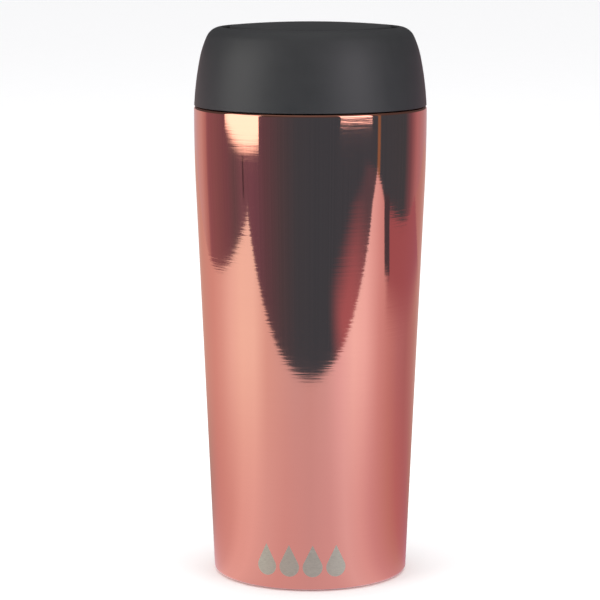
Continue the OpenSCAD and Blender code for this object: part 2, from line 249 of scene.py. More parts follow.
# %% [markdown]
# ## The rose-gold wall
# The steel wall is polished to a mirror and then coated with a thin copper-coloured film. Polishing on
# a lathe leaves very fine marks round the wall, far too shallow to see as such, but they shake the
# edges of whatever the wall reflects. Real grooves would need millions of faces, so the marks are a
# bump: a noise that is drawn out twenty times round the wall and is short up it, with slow waves.

# %% Mirror wall
MARK_DEPTH = 0.0068


def rose_gold():
    finish = Finish("rose_gold")
    marks = finish.noise(1, 3, 0.55, (0.05, 0.05, 1))
    waves = finish.noise(7, 1, 0.5, (0.1, 0.1, 1))
    cloud = finish.noise(30, 2)
    etched = drop_mask(finish)
    film = finish.mix(cloud * 0.5 + marks * 0.3, (0.80, 0.36, 0.26), (0.77, 0.335, 0.24))
    bare = finish.mix(finish.noise(1.2, 3, 0.6, (1, 1, 5)), (0.34, 0.33, 0.23), (0.60, 0.59, 0.45))
    return finish.surface(
        Base_Color=finish.mix(etched, film, bare),
        Metallic=1,
        Roughness=0.035 + marks * 0.03 + etched * 0.3,
        Normal=finish.bump(marks + waves * 0.7, MARK_DEPTH),
    )


keep("rose_gold", rose_gold())

# %% [markdown]
# ## Brushed and bright steel
# The inside of the cup and the parts of the foot are left as brushed stainless steel. The brush runs
# round the axis, so its scratches follow height on a wall and radius on a floor; the sum of the two
# changes across the scratches on both. Springs, clips and the screw are drawn or stamped, and brighter.

# %% Steels
def brushed_steel():
    finish = Finish("steel")
    x, y, z = finish.place()
    radius = finish.math("SQRT", x * x + y * y)
    scratches = finish.lines(z + radius, 0.22, 4)
    cloud = finish.noise(14, 3)
    return finish.surface(
        Base_Color=finish.mix(scratches * 0.6 + cloud * 0.4, (0.52, 0.52, 0.51), (0.70, 0.70, 0.69)),
        Metallic=1,
        Roughness=0.22 + scratches * 0.12 + cloud * 0.08,
        Normal=finish.bump(scratches, 0.0035),
    )


def grained(name, grain, colours, metal, rough, spread, depth):
    """A finish whose colour, roughness and relief all follow one random grain."""
    finish = Finish(name)
    pattern = finish.noise(*grain)
    return finish.surface(
        Base_Color=finish.mix(pattern, *colours),
        Metallic=metal,
        Roughness=rough + pattern * spread,
        Normal=finish.bump(pattern, depth),
    )


keep("steel", brushed_steel())
drawn = ((0.45, 0.45, 0.46), (0.66, 0.66, 0.67))
keep("spring_steel", grained("spring_steel", (0.8, 4, 0.6, (1, 1, 4)), drawn, 1, 0.2, 0.15, 0.003))

# %% [markdown]
# ## Inside the vacuum
# Between the walls there is crinkled copper foil that turns heat back, a pressed powder pill that
# soaks up stray gas, and the drop of solder that closed the last hole. None of these is polished.

# %% Foil, pill and solder
def copper_foil():
    finish = Finish("copper_foil")
    creases = finish.node(
        "ShaderNodeTexVoronoi",
        {"feature": "DISTANCE_TO_EDGE"},
        {"Vector": finish.node("ShaderNodeTexCoord", {}, {}, "Object"), "Scale": 160},
    )
    cloud = finish.noise(9, 4)
    return finish.surface(
        Base_Color=finish.mix(cloud, (0.56, 0.28, 0.16), (0.80, 0.47, 0.30)),
        Metallic=1,
        Roughness=0.22 + cloud * 0.2,
        Normal=finish.bump(creases + cloud, 0.25),
    )


keep("copper_foil", copper_foil())
powder = ((0.07, 0.07, 0.075), (0.17, 0.17, 0.175))
keep("getter", grained("getter", (0.25, 5, 0.7), powder, 0.3, 0.75, 0.15, 0.06))
dull = ((0.30, 0.31, 0.32), (0.48, 0.49, 0.50))
keep("solder", grained("solder", (0.9, 4, 0.6), dull, 1, 0.38, 0.2, 0.03))

# %% [markdown]
# ## Plastics
# The lid's skin is moulded plastic with a soft-touch paint: charcoal, matt, with a grain of about a
# third of a millimetre that breaks up highlights. The core of the lid is plain satin polypropylene.
# The click mechanism is natural acetal, a waxy off-white that lets a little light in.

# %% Plastics
def soft_black():
    finish = Finish("soft_black")
    grain = finish.noise(0.32, 3, 0.6)
    mottle = finish.noise(6, 3, 0.55)
    return finish.surface(
        Base_Color=finish.mix(mottle * 0.6 + grain * 0.4, (0.019, 0.0195, 0.021), (0.029, 0.0295, 0.031)),
        Roughness=0.4 + grain * 0.1 + mottle * 0.06,
        Specular_IOR_Level=0.45,
        Normal=finish.bump(grain, 0.012),
    )


def core_plastic():
    finish = Finish("core_plastic")
    mottle = finish.noise(3.5, 3)
    flow = finish.lines(finish.place()[2], 0.8, 3)
    return finish.surface(
        Base_Color=finish.mix(mottle, (0.040, 0.041, 0.043), (0.062, 0.063, 0.066)),
        Roughness=0.34 + mottle * 0.1 + flow * 0.05,
        Normal=finish.bump(mottle + flow * 0.5, 0.012),
    )


def acetal():
    finish = Finish("acetal")
    cloud = finish.noise(4, 3)
    cutter = finish.lines(finish.place()[2], 0.35, 2)
    return finish.surface(
        Base_Color=finish.mix(cloud, (0.70, 0.67, 0.58), (0.80, 0.78, 0.71)),
        Roughness=0.3 + cloud * 0.12,
        Subsurface_Weight=0.15,
        Subsurface_Radius=(0.003, 0.003, 0.002),
        Subsurface_Scale=0.4,
        Normal=finish.bump(cutter, 0.008),
    )


keep("soft_black", soft_black())
keep("core_plastic", core_plastic())
keep("acetal", acetal())

# %% [markdown]
# ## Silicones
# The seals and the foot ring are moulded silicone, cloudy inside, with a fine dust that always clings
# to it. The two differ only in colour and gloss, so one function makes both.

# %% Silicones
def silicone(name, dark, light, gloss):
    finish = Finish(name)
    cloud = finish.noise(5, 3)
    dust = finish.noise(0.5, 4, 0.6)
    return finish.surface(
        Base_Color=finish.mix(cloud * 0.6 + dust * 0.4, dark, light),
        Roughness=gloss + dust * 0.12,
        Normal=finish.bump(dust + cloud, 0.015),
    )


keep("dark_silicone", silicone("dark_silicone", (0.020, 0.020, 0.022), (0.045, 0.045, 0.048), 0.62))
keep("grey_silicone", silicone("grey_silicone", (0.30, 0.31, 0.32), (0.40, 0.41, 0.42), 0.4))

# %% [markdown]
# ## Give every frame piece its finish
# A piece of the frame whose shape is already right keeps its mesh and only gets a finish. The slots of
# the mesh are filled from the record's names.

# %% Finish the frame's own pieces
for name, solid in frame["nodes"].items():
    solid.data.materials.clear()
    solid.data.materials.append(finishes[finish_name[name]])
print(len(frame["nodes"]), "frame pieces have a finish")

# %% [markdown]
# ## Drawing a half section
# Almost every large piece is round, so each is drawn as a half section, like a drawing for a lathe.
# `Section` is a pen for that: it draws straight lines between corners, and it draws an arc by spinning
# the last corner about the arc's centre. All its sizes are in millimetres.

# %% Section
class Section:
    """A closed outline in the plane of X and Z, drawn corner by corner."""

    def __init__(self, x, z):
        self.bm = bmesh.new()
        self.tip = self.bm.verts.new((x * MM, 0, z * MM))
        self.first = self.tip

    def line(self, *corners):
        for x, z in corners:
            corner = self.bm.verts.new((x * MM, 0, z * MM))
            self.bm.edges.new((self.tip, corner))
            self.tip = corner

    def arc(self, x, z, turn, steps=8):
        """On from the last corner about a centre, by turn degrees, anticlockwise when positive."""
        swept = bmesh.ops.spin(
            self.bm,
            geom=[self.tip],
            cent=(x * MM, 0, z * MM),
            axis=(0, -1, 0),
            angle=math.radians(turn),
            steps=steps,
        )
        self.tip = [part for part in swept["geom_last"] if isinstance(part, bmesh.types.BMVert)][0]

    def closed(self):
        """The same section, with its last corner joined to its first."""
        self.bm.edges.new((self.tip, self.first))
        return self


print("a section draws with", [name for name in vars(Section) if not name.startswith("_")])

# %% [markdown]
# ## Turning a section into a solid
# A full spin about the upright axis makes the solid. A Screw modifier could do the same, but the spin
# closes the seam itself. Corners on the axis give one point many times over, so doubles are merged, and
# only then are the faces turned outwards.

# %% Turned solids
UPRIGHT = {"cent": (0, 0, 0), "axis": (0, 0, 1)}
MERGE_DISTANCE = 0.002


def turned(section, steps=192):
    """The solid that a closed section makes when it is spun once round the upright axis."""
    bm = section.bm
    outline = bm.verts[:] + bm.edges[:]
    bmesh.ops.spin(bm, geom=outline, **UPRIGHT, angle=math.tau, steps=steps, use_merge=True)
    bmesh.ops.remove_doubles(bm, verts=bm.verts, dist=MERGE_DISTANCE * MM)
    bmesh.ops.recalc_face_normals(bm, faces=bm.faces)
    return bm


print("corners closer than", MERGE_DISTANCE, "mm are merged")

# %% [markdown]
# ## From a mesh to a piece of the tumbler
# Each finished mesh stands for a node of the frame: it rides on that node's body, takes its finish, and
# hides it. It is shaded smooth, apart from edges sharper than the crease angle, so that round walls look
# round and lips stay crisp.

# %% Objects and pieces
def add_object(name, data):
    """A new object in the scene."""
    made = bpy.data.objects.new(name, data)
    bpy.context.scene.collection.objects.link(made)
    return made


def add_mesh(name, bm, material):
    """A new object made from a bmesh, which is used up."""
    mesh = bpy.data.meshes.new(name)
    bm.to_mesh(mesh)
    bm.free()
    mesh.materials.append(material)
    return add_object(name, mesh)


def piece(name, bm, *nodes, crease=35):
    """A finished piece that stands for one or more frame nodes."""
    made = add_mesh(name, bm, finishes[finish_name[nodes[0]]])
    made.data.shade_smooth()
    made.data.set_sharp_from_angle(angle=math.radians(crease))
    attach(made, body_name[nodes[0]])
    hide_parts(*nodes)
    print(name, len(made.data.polygons), "faces")
    return made


print("pieces ride on", sorted(set(body_name.values())))

# %% [markdown]
# ## The curve of the wall
# The wall is a plain cone for most of its height. Near the top it bends upright over a few
# centimetres, and ends in a short straight band under the rim. A mirror shows the slightest flaw in a
# curve, so the bend is drawn in fine steps, and the cone gets rings of its own to keep the shading
# from being dragged along it.

# %% Wall sizes
shell_low, shell_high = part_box("outer_shell")
CUP_TOP = shell_high.z / MM
MOUTH_R = shell_high.x / MM
FOOT_LIFT = shell_low.z / MM
BASE_R = 34.85
MOUTH_LAND = 3.2
BEND_H = 27.4
SHELL_WALL = 0.6
LINER_WALL = 0.5
LINER_INSET = 3.9
bend_top = CUP_TOP - MOUTH_LAND
bend_foot = bend_top - BEND_H
taper = (MOUTH_R - BASE_R) / (bend_top - BEND_H / 2)


def wall_r(z):
    bend = min(max(z - bend_foot, 0), BEND_H)
    return BASE_R + taper * min(z, bend_top) - taper * bend ** 2 / (2 * BEND_H)


def wall(low, high, inset, steps=64):
    """Corners up or down the wall, at an inset from its outside, with two close to each end."""
    shares = [0, 0.002, *[step / steps for step in range(1, steps)], 0.998, 1]
    heights = [low + (high - low) * share for share in shares]
    return [(wall_r(z) - inset, z) for z in heights]


print("wall radius at foot, bend and mouth:", [round(wall_r(z), 2) for z in (0, bend_foot, CUP_TOP)])

# %% [markdown]
# ## The outer shell
# The outside is one drawn steel cup without a floor. Its lower edge is rolled under into a hem, and its
# upper edge turns in over the rim, where it is welded to the liner. It could be a cone with a Solidify
# modifier, but then the hem and the rim would need work of their own: one outline holds all of it.

# %% Outer shell
FOOT_ROUND = 1.2
HEM_W = 2.3
HEM_H = 4.5
RIM_ROUND = 1.0
RIM_SPLIT_R = MOUTH_R - SHELL_WALL - 1.1
foot_r = wall_r(FOOT_LIFT)
hem_r = foot_r - HEM_W
foot_start = FOOT_LIFT + FOOT_ROUND + 0.3
rim_start = CUP_TOP - RIM_ROUND - 0.1
outer_foot = wall_r(foot_start) - FOOT_ROUND

shell = Section(RIM_SPLIT_R, CUP_TOP - SHELL_WALL)
shell.line((RIM_SPLIT_R, CUP_TOP), (MOUTH_R - RIM_ROUND - 0.2, CUP_TOP), (MOUTH_R - RIM_ROUND, CUP_TOP))
shell.arc(MOUTH_R - RIM_ROUND, CUP_TOP - RIM_ROUND, -90, 10)
shell.line(*wall(rim_start, foot_start, 0, 150))
shell.line((outer_foot + FOOT_ROUND, FOOT_LIFT + FOOT_ROUND))
shell.arc(outer_foot, FOOT_LIFT + FOOT_ROUND, -90, 10)
shell.line((hem_r + 0.2, FOOT_LIFT), (hem_r, FOOT_LIFT + 0.2), (hem_r, HEM_H + FOOT_LIFT - 0.1))
shell.line((hem_r + 0.1, HEM_H + FOOT_LIFT), (hem_r + SHELL_WALL, HEM_H + FOOT_LIFT))
shell.line((hem_r + SHELL_WALL, FOOT_LIFT + SHELL_WALL), (outer_foot, FOOT_LIFT + SHELL_WALL))
shell.arc(outer_foot, FOOT_LIFT + FOOT_ROUND, 90, 6)
shell.line(*wall(foot_start, rim_start, SHELL_WALL, 40))
shell.line((MOUTH_R - SHELL_WALL, CUP_TOP - RIM_ROUND))
shell.arc(MOUTH_R - RIM_ROUND, CUP_TOP - RIM_ROUND, 90, 6)
piece("shell", turned(shell.closed(), 256), "outer_shell")

# %% [markdown]
# ## Helical ridges for the neck
# The lid screws into ridges rolled into the liner's neck. A ridge is a small section carried round the
# axis while it rises: spin does this when it is given a distance for each step as well as an angle.
# At both ends the ridge sinks back into the wall, so that the lid's own ridges slip in. The ridges of
# the lid lie halfway between those of the neck.

# %% Helical ridge
THREAD_STARTS = 3
THREAD_LEAD = 12
RIDGE_SWEEP = 108
FIRST_START = 3
FADE = 18
PLUG_LOW = 150
MALE_Z = PLUG_LOW + 3.6
FEMALE_Z = MALE_Z + THREAD_LEAD / THREAD_STARTS / 2


def rotation(degrees, axis="Z"):
    """The matrix that turns by so many degrees about an axis."""
    return Matrix.Rotation(math.radians(degrees), 3, axis)


def add_ridge(bm, outline, root_r, start, steps=54):
    """Carry an outline of (radius, height) corners up the thread's helix, from start degrees on."""
    corners = []
    for radius, height in outline:
        corners.append(bm.verts.new((radius * MM, 0, height * MM)))
    loop = [bm.edges.new((corners[i - 1], corners[i])) for i in range(len(corners))]
    front = bmesh.ops.contextual_create(bm, geom=loop)["faces"]
    bmesh.ops.rotate(bm, verts=corners, cent=(0, 0, 0), matrix=rotation(start))
    rise = THREAD_LEAD * RIDGE_SWEEP / 360 / steps * MM
    before = set(bm.verts)
    sweep = math.radians(RIDGE_SWEEP)
    bmesh.ops.spin(bm, geom=front, **UPRIGHT, dvec=(0, 0, rise), angle=sweep, steps=steps)
    ridge = [vert for vert in bm.verts if vert not in before] + corners
    for vert in ridge:
        along = (math.degrees(math.atan2(vert.co.y, vert.co.x)) - start) % 360
        along = 0 if along > 359 else along
        share = min(1, along / FADE, max(0, RIDGE_SWEEP - along) / FADE)
        radius = math.hypot(vert.co.x, vert.co.y)
        wanted = root_r * MM + (radius - root_r * MM) * share
        vert.co.x *= wanted / radius
        vert.co.y *= wanted / radius


print("each ridge rises", THREAD_LEAD * RIDGE_SWEEP / 360, "mm")

# %% [markdown]
# ## The inner liner
# The liner is the cup that holds the drink. It follows the outer wall at an even gap, so it uses the
# same wall function with an inset. Its bottom corner is round, and its rim turns outwards to the shell.

# %% Inner liner
LINER_FLOOR = 9.4
FLOOR_ROUND = 9
LIP_R = 1.0
neck_r = MOUTH_R - LINER_INSET
bottom_r = wall_r(LINER_FLOOR + FLOOR_ROUND) - LINER_INSET
corner_top = LINER_FLOOR + FLOOR_ROUND
lip_start = CUP_TOP - LIP_R - 0.1

liner = Section(0, LINER_FLOOR)
liner.line((bottom_r - FLOOR_ROUND - 0.2, LINER_FLOOR), (bottom_r - FLOOR_ROUND, LINER_FLOOR))
liner.arc(bottom_r - FLOOR_ROUND, corner_top, 90, 16)
liner.line(*wall(corner_top + 0.3, lip_start, LINER_INSET, 90))
liner.line((neck_r, CUP_TOP - LIP_R))
liner.arc(neck_r + LIP_R, CUP_TOP - LIP_R, -90, 8)
liner.line((RIM_SPLIT_R, CUP_TOP), (RIM_SPLIT_R, CUP_TOP - LINER_WALL))
liner.line((neck_r + LIP_R, CUP_TOP - LINER_WALL))
liner.arc(neck_r + LIP_R, CUP_TOP - LIP_R, 90, 6)
liner.line(*wall(lip_start, corner_top + 0.3, LINER_INSET - LINER_WALL, 40))
liner.line((bottom_r + LINER_WALL, corner_top))
liner.arc(bottom_r - FLOOR_ROUND, corner_top, -90, 12)
liner.line((0, LINER_FLOOR - LINER_WALL))
liner_mesh = turned(liner.closed(), 192)

rolled = [(neck_r + 0.2, -0.9), (neck_r - 0.35, -0.72), (neck_r - 0.75, -0.52), (neck_r - 0.97, -0.2)]
rolled += [(radius, -height) for radius, height in reversed(rolled)]
for number in range(THREAD_STARTS):
    raised = [(radius, FEMALE_Z + height) for radius, height in rolled]
    add_ridge(liner_mesh, raised, neck_r + 0.2, FIRST_START + number * 360 / THREAD_STARTS)
bmesh.ops.recalc_face_normals(liner_mesh, faces=liner_mesh.faces)
piece("liner", liner_mesh, "inner_liner")

# %% [markdown]
# ## The foot ring
# A flat ring of silicone keeps the tumbler quiet on a table. Its two lower corners are round, as rubber
# comes out of a mould, and its upper face is glued on.

# %% Foot ring
pad_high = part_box("foot_pad")[1]
PAD_W = 8.5
PAD_OUT = pad_high.x / MM
PAD_IN = PAD_OUT - PAD_W
PAD_H = pad_high.z / MM
PAD_ROUND = 0.5
pad = Section(PAD_IN, PAD_H)
pad.line((PAD_IN, PAD_ROUND))
pad.arc(PAD_IN + PAD_ROUND, PAD_ROUND, 90, 6)
pad.line((PAD_OUT - PAD_ROUND, 0))
pad.arc(PAD_OUT - PAD_ROUND, PAD_ROUND, 90, 6)
pad.line((PAD_OUT, PAD_H))
piece("foot_ring", turned(pad.closed(), 128), "foot_pad")

# %% [markdown]
# ## The base cover
# A shallow steel tray hides the sealed hole of the vacuum. It is pressed from sheet, so its corner is
# round, and its short wall stands up inside the hem of the shell.

# %% Base cover
COVER_ROUND = 0.6
cover_low, cover_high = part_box("base_cover")
COVER_R = cover_high.x / MM
COVER_LOW = cover_low.z / MM
COVER_HIGH = cover_high.z / MM
cover = Section(0, COVER_LOW)
cover.line((COVER_R - COVER_ROUND, COVER_LOW))
cover.arc(COVER_R - COVER_ROUND, COVER_LOW + COVER_ROUND, 90, 6)
cover.line((COVER_R, COVER_HIGH), (COVER_R - SHELL_WALL, COVER_HIGH))
cover.line((COVER_R - SHELL_WALL, COVER_LOW + SHELL_WALL), (0, COVER_LOW + SHELL_WALL))
piece("cover", turned(cover.closed(), 128), "base_cover")

# %% [markdown]
# ## The curve of the lid
# The side of the lid is three arcs, each flowing into the next: a long, nearly flat one, a rounder
# shoulder, and a small corner that turns over the top. They could be drawn by eye with a spline, but
# then they would not flow: here their centres follow from the angles at which they meet.

# %% Lid sizes
LID_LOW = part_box("lid_collar")[0].z / MM
LID_H = 27.6
RIM_Z = LID_LOW + LID_H
COLLAR_FOOT_R = MOUTH_R - 0.1
LEAN_FOOT = 3
LEAN_SIDE = 11.4
LEAN_SHOULDER = 24.8
LEAN_CREST = 84.6
SHOULDER_R = 34.4
CORNER_R = 5.9


def sine(degrees):
    return math.sin(math.radians(degrees))


def cosine(degrees):
    return math.cos(math.radians(degrees))


side_h = LID_H - SHOULDER_R * (sine(LEAN_SHOULDER) - sine(LEAN_SIDE))
side_h -= CORNER_R * (sine(LEAN_CREST) - sine(LEAN_SHOULDER))
side_r = side_h / (sine(LEAN_SIDE) - sine(LEAN_FOOT))
side_x = COLLAR_FOOT_R - side_r * cosine(LEAN_FOOT)
side_z = LID_LOW - side_r * sine(LEAN_FOOT)
shoulder_x = side_x + (side_r - SHOULDER_R) * cosine(LEAN_SIDE)
shoulder_z = side_z + (side_r - SHOULDER_R) * sine(LEAN_SIDE)
corner_x = shoulder_x + (SHOULDER_R - CORNER_R) * cosine(LEAN_SHOULDER)
corner_z = shoulder_z + (SHOULDER_R - CORNER_R) * sine(LEAN_SHOULDER)
crest_r = corner_x + CORNER_R * cosine(LEAN_CREST)
print("the side's radius is", round(side_r, 1), "mm, and the crest's", round(crest_r, 1))

# %% [markdown]
# ## The lid's skin
# The skin is one moulding. Its lower edge hangs a touch lower than the ledge behind it, so that only a
# hairline of the cup's rim shows. The top ends in a soft drinking lip, and a thin ring runs down inside
# it to the lap joint with the core.

# %% Lid skin
COLLAR_WALL = 2.2
LIP_ROUND = 0.7
LIP_WALL = 2
LIP_DROP = 9.2
LAP_H = 3
lip_in_r = crest_r - LIP_ROUND - 0.05
lip_low = RIM_Z - LIP_DROP
lap_top = lip_low + LAP_H
FLANGE_H = 2.2
flange_r = COLLAR_FOOT_R - COLLAR_WALL - 0.3
FOOT_EDGE = 0.15
EDGE_DROP = 0.15
first_lean = LEAN_FOOT + math.degrees(FOOT_EDGE / side_r)
inner_lean = LEAN_FOOT + math.degrees((FLANGE_H + 0.6) / side_r)
inner_shoulder = SHOULDER_R - COLLAR_WALL

collar = Section(flange_r, LID_LOW)
collar.line((COLLAR_FOOT_R - 1.2, LID_LOW), (COLLAR_FOOT_R - 0.9, LID_LOW - EDGE_DROP))
collar.line((COLLAR_FOOT_R - FOOT_EDGE, LID_LOW - EDGE_DROP))
collar.arc(COLLAR_FOOT_R - FOOT_EDGE, LID_LOW - EDGE_DROP + FOOT_EDGE, 90, 5)
collar.line((side_x + side_r * cosine(first_lean), side_z + side_r * sine(first_lean)))
collar.arc(side_x, side_z, LEAN_SIDE - first_lean, 24)
collar.arc(shoulder_x, shoulder_z, LEAN_SHOULDER - LEAN_SIDE, 12)
collar.arc(corner_x, corner_z, LEAN_CREST - LEAN_SHOULDER, 20)
collar.line((lip_in_r + LIP_ROUND, RIM_Z))
collar.arc(lip_in_r + LIP_ROUND, RIM_Z - LIP_ROUND, 90, 8)
collar.line((lip_in_r, lip_low), (lip_in_r + LIP_WALL / 2, lip_low))
collar.line((lip_in_r + LIP_WALL / 2, lap_top), (lip_in_r + LIP_WALL, lap_top))
collar.line((lip_in_r + LIP_WALL, corner_z + 1))
inner_x = shoulder_x + inner_shoulder * cosine(LEAN_SHOULDER)
inner_z = shoulder_z + inner_shoulder * sine(LEAN_SHOULDER)
collar.line((inner_x, inner_z))
collar.arc(shoulder_x, shoulder_z, LEAN_SIDE - LEAN_SHOULDER, 8)
collar.arc(side_x, side_z, inner_lean - LEAN_SIDE, 12)
collar.line((flange_r, LID_LOW + FLANGE_H + 0.2))
piece("lid_skin", turned(collar.closed(), 256), "lid_collar")

# %% [markdown]
# ## The button
# The whole crown of the lid is the button. Its top is a very shallow dome that carries on from the
# lip, so that the lid reads as one smooth form, and its skirt slides inside the drinking gap.

# %% Button
button_low, button_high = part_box("button_cap")
BUTTON_R = button_high.x / MM
BUTTON_LOW = button_low.z / MM
APEX = button_high.z / MM
CROWN_H = APEX - RIM_Z
CROWN_R = (crest_r ** 2 + CROWN_H ** 2) / (2 * CROWN_H)
crown_mid = APEX - CROWN_R
BUTTON_ROUND = 0.8
BUTTON_EDGE = 0.3
BUTTON_WALL = 3.1
SKIRT_WALL = 2
BOSS_WALL = 1.8
BUTTON_UNDER = APEX - BUTTON_WALL
PUSHER_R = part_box("pusher")[1].x / MM
BOSS_R = PUSHER_R + BOSS_WALL
skirt_r = BUTTON_R - SKIRT_WALL
edge_angle = math.degrees(math.acos((BUTTON_R - BUTTON_ROUND) / CROWN_R))
edge_z = crown_mid + CROWN_R * sine(edge_angle)

button = Section(0, BUTTON_UNDER)
button.line((PUSHER_R, BUTTON_UNDER), (PUSHER_R, BUTTON_LOW + 1), (BOSS_R, BUTTON_LOW + 1))
button.line((BOSS_R, BUTTON_UNDER), (skirt_r, BUTTON_UNDER))
button.line((skirt_r, BUTTON_LOW + BUTTON_EDGE), (skirt_r + BUTTON_EDGE, BUTTON_LOW))
button.line((BUTTON_R - BUTTON_EDGE, BUTTON_LOW), (BUTTON_R, BUTTON_LOW + BUTTON_EDGE))
button.line((BUTTON_R, edge_z - BUTTON_ROUND))
button.arc(BUTTON_R - BUTTON_ROUND, edge_z - BUTTON_ROUND, 80, 8)
crown_start = edge_angle + 0.2
button.line((CROWN_R * cosine(crown_start), crown_mid + CROWN_R * sine(crown_start)))
button.arc(0, crown_mid, 90 - crown_start, 32)
piece("button_top", turned(button.closed(), 256), "button_cap")

# %% [markdown]
# ## The lid's plug
# Below the skin a plug goes down into the neck. It has a flange that closes the skin from below, a lap
# joint under the lip, and the groove of the gasket. The seat of the valve is its lower edge.

# %% Plug
PLUG_GAP = 1.4
PLUG_WALL = 2.6
GROOVE_DROP = 3.6
PLUG_R = neck_r - PLUG_GAP
GROOVE_LOW = CUP_TOP - GROOVE_DROP
GROOVE_H = 3.2
GROOVE_DEEP = 0.9
SEAT_R = lip_in_r - 0.3
SEAT_H = 3
PLUG_IN_R = PLUG_R - PLUG_WALL

core = Section(SEAT_R, PLUG_LOW)
core.line((PLUG_R - 0.5, PLUG_LOW), (PLUG_R, PLUG_LOW + 0.5), (PLUG_R, GROOVE_LOW))
core.line((PLUG_R - GROOVE_DEEP, GROOVE_LOW), (PLUG_R - GROOVE_DEEP, GROOVE_LOW + GROOVE_H))
core.line((PLUG_R, GROOVE_LOW + GROOVE_H), (PLUG_R, LID_LOW), (flange_r, LID_LOW))
core.line((flange_r, LID_LOW + FLANGE_H), (lip_in_r + LIP_WALL, LID_LOW + FLANGE_H))
core.line((lip_in_r + LIP_WALL, lap_top), (lip_in_r + LIP_WALL / 2, lap_top))
core.line((lip_in_r + LIP_WALL / 2, lip_low), (lip_in_r, lip_low), (lip_in_r, LID_LOW))
core.line((PLUG_IN_R, GROOVE_LOW + 0.5), (PLUG_IN_R, PLUG_LOW + SEAT_H), (SEAT_R, PLUG_LOW + SEAT_H))
core_mesh = turned(core.closed(), 192)
print("the plug's rings have", len(core_mesh.verts), "corners")

# %% [markdown]
# ## The hub and its ribs
# In the middle of the plug a tube holds the click mechanism, on four ribs that leave wide ways for the
# drink. Hub and ribs only touch or enter the plug, as in one moulding, so they are added to its mesh
# as closed shapes: the tube is turned too, and a rib is a box that is stretched and moved.

# %% Hub and ribs
SLEEVE_R = 11.2
HUB_WALL = 2.2
HUB_LOW = PLUG_LOW + 6
HUB_HIGH = HUB_LOW + 10
RIB_WALL = 2
hub = Section(SLEEVE_R, HUB_LOW)
hub.line((SLEEVE_R + HUB_WALL, HUB_LOW), (SLEEVE_R + HUB_WALL, HUB_HIGH), (SLEEVE_R, HUB_HIGH))
hub_mesh = turned(hub.closed(), 96)
spare = bpy.data.meshes.new("hub")
hub_mesh.to_mesh(spare)
hub_mesh.free()
core_mesh.from_mesh(spare)
bpy.data.meshes.remove(spare)

rib_in = SLEEVE_R + HUB_WALL - 0.3
rib_out = PLUG_IN_R + 0.3
for angle in (45, 135, 225, 315):
    rib = bmesh.ops.create_cube(core_mesh, size=1)["verts"]
    size = Vector((rib_out - rib_in, RIB_WALL, HUB_HIGH - HUB_LOW - 2)) * MM
    bmesh.ops.scale(core_mesh, vec=size, verts=rib)
    middle = Vector(((rib_in + rib_out) / 2, 0, (HUB_LOW + HUB_HIGH) / 2)) * MM
    bmesh.ops.translate(core_mesh, vec=middle, verts=rib)
    bmesh.ops.rotate(core_mesh, verts=rib, cent=(0, 0, 0), matrix=rotation(angle))
print("a rib is", round(rib_out - rib_in, 1), "mm long")

# %% [markdown]
# ## The plug's thread
# The lid's own ridges are moulded, so they are sharper than those rolled into the steel neck.

# %% Thread of the plug
moulded = [(PLUG_R - 0.2, -0.9), (PLUG_R + 0.85, -0.5), (PLUG_R + 1, -0.35)]
moulded += [(radius, -height) for radius, height in reversed(moulded)]
for number in range(THREAD_STARTS):
    raised = [(radius, MALE_Z + height) for radius, height in moulded]
    add_ridge(core_mesh, raised, PLUG_R - 0.2, FIRST_START + number * 360 / THREAD_STARTS)
bmesh.ops.recalc_face_normals(core_mesh, faces=core_mesh.faces)
piece("plug", core_mesh, "lid_core")

# %% [markdown]
# ## The neck gasket
# The gasket is a silicone ring with three soft fins, which bend and seal against the neck. The fins are
# alike, so one loop draws them. Each has a slightly pointed edge.

# %% Neck gasket
gasket_low, gasket_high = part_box("neck_gasket")
GASKET_OUT = gasket_high.x / MM
GASKET_IN = PLUG_R - GROOVE_DEEP + 0.05
fin_low = gasket_low.z / MM
fin = (gasket_high.z - gasket_low.z) / MM / 5
FIN_DEEP = 0.7
FIN_TIP = 0.12
FIN_EDGE = 0.08
gasket = Section(GASKET_IN, fin_low)
for number in range(3):
    z = fin_low + 2 * number * fin
    gasket.line((GASKET_OUT - FIN_DEEP, z), (GASKET_OUT - FIN_TIP, z + FIN_EDGE))
    gasket.line((GASKET_OUT, z + fin * 0.5), (GASKET_OUT - FIN_TIP, z + fin - FIN_EDGE))
    gasket.line((GASKET_OUT - FIN_DEEP, z + fin))
gasket.line((GASKET_IN, gasket_high.z / MM))
piece("gasket", turned(gasket.closed(), 160), "neck_gasket", crease=50)

# %% [markdown]
# ## The valve disc
# The disc hangs under the plug on the stem. Its hub is thick where the screw holds it, and a ledge near
# its edge carries the sealing ring.

# %% Valve disc
disc_low, disc_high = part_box("valve_disc")
DISC_R = disc_high.x / MM
DISC_LOW = disc_low.z / MM
DISC_HIGH = disc_high.z / MM
VALVE_LOW = PLUG_LOW - 4.2
VALVE_LEDGE = PLUG_LOW - 2.6
RING_IN_R = SEAT_R - 0.6
DISC_HUB_R = 7
DISC_ROUND = 0.5
STEM_R = 3.6
SCREW_R = 1.5
disc = Section(SCREW_R, DISC_LOW)
disc.line((DISC_HUB_R - 0.4, DISC_LOW), (DISC_HUB_R, DISC_LOW + 0.2), (DISC_HUB_R + 1.6, VALVE_LOW))
disc.line((DISC_R - DISC_ROUND, VALVE_LOW))
disc.arc(DISC_R - DISC_ROUND, VALVE_LOW + DISC_ROUND, 90, 5)
disc.line((DISC_R, VALVE_LEDGE), (RING_IN_R, VALVE_LEDGE), (RING_IN_R, PLUG_LOW - 0.6))
disc.line((RING_IN_R - 1.4, PLUG_LOW - 0.6), (RING_IN_R - 2.4, VALVE_LEDGE))
disc.line((DISC_HUB_R + 1.2, VALVE_LEDGE), (DISC_HUB_R, DISC_HIGH), (STEM_R, DISC_HIGH))
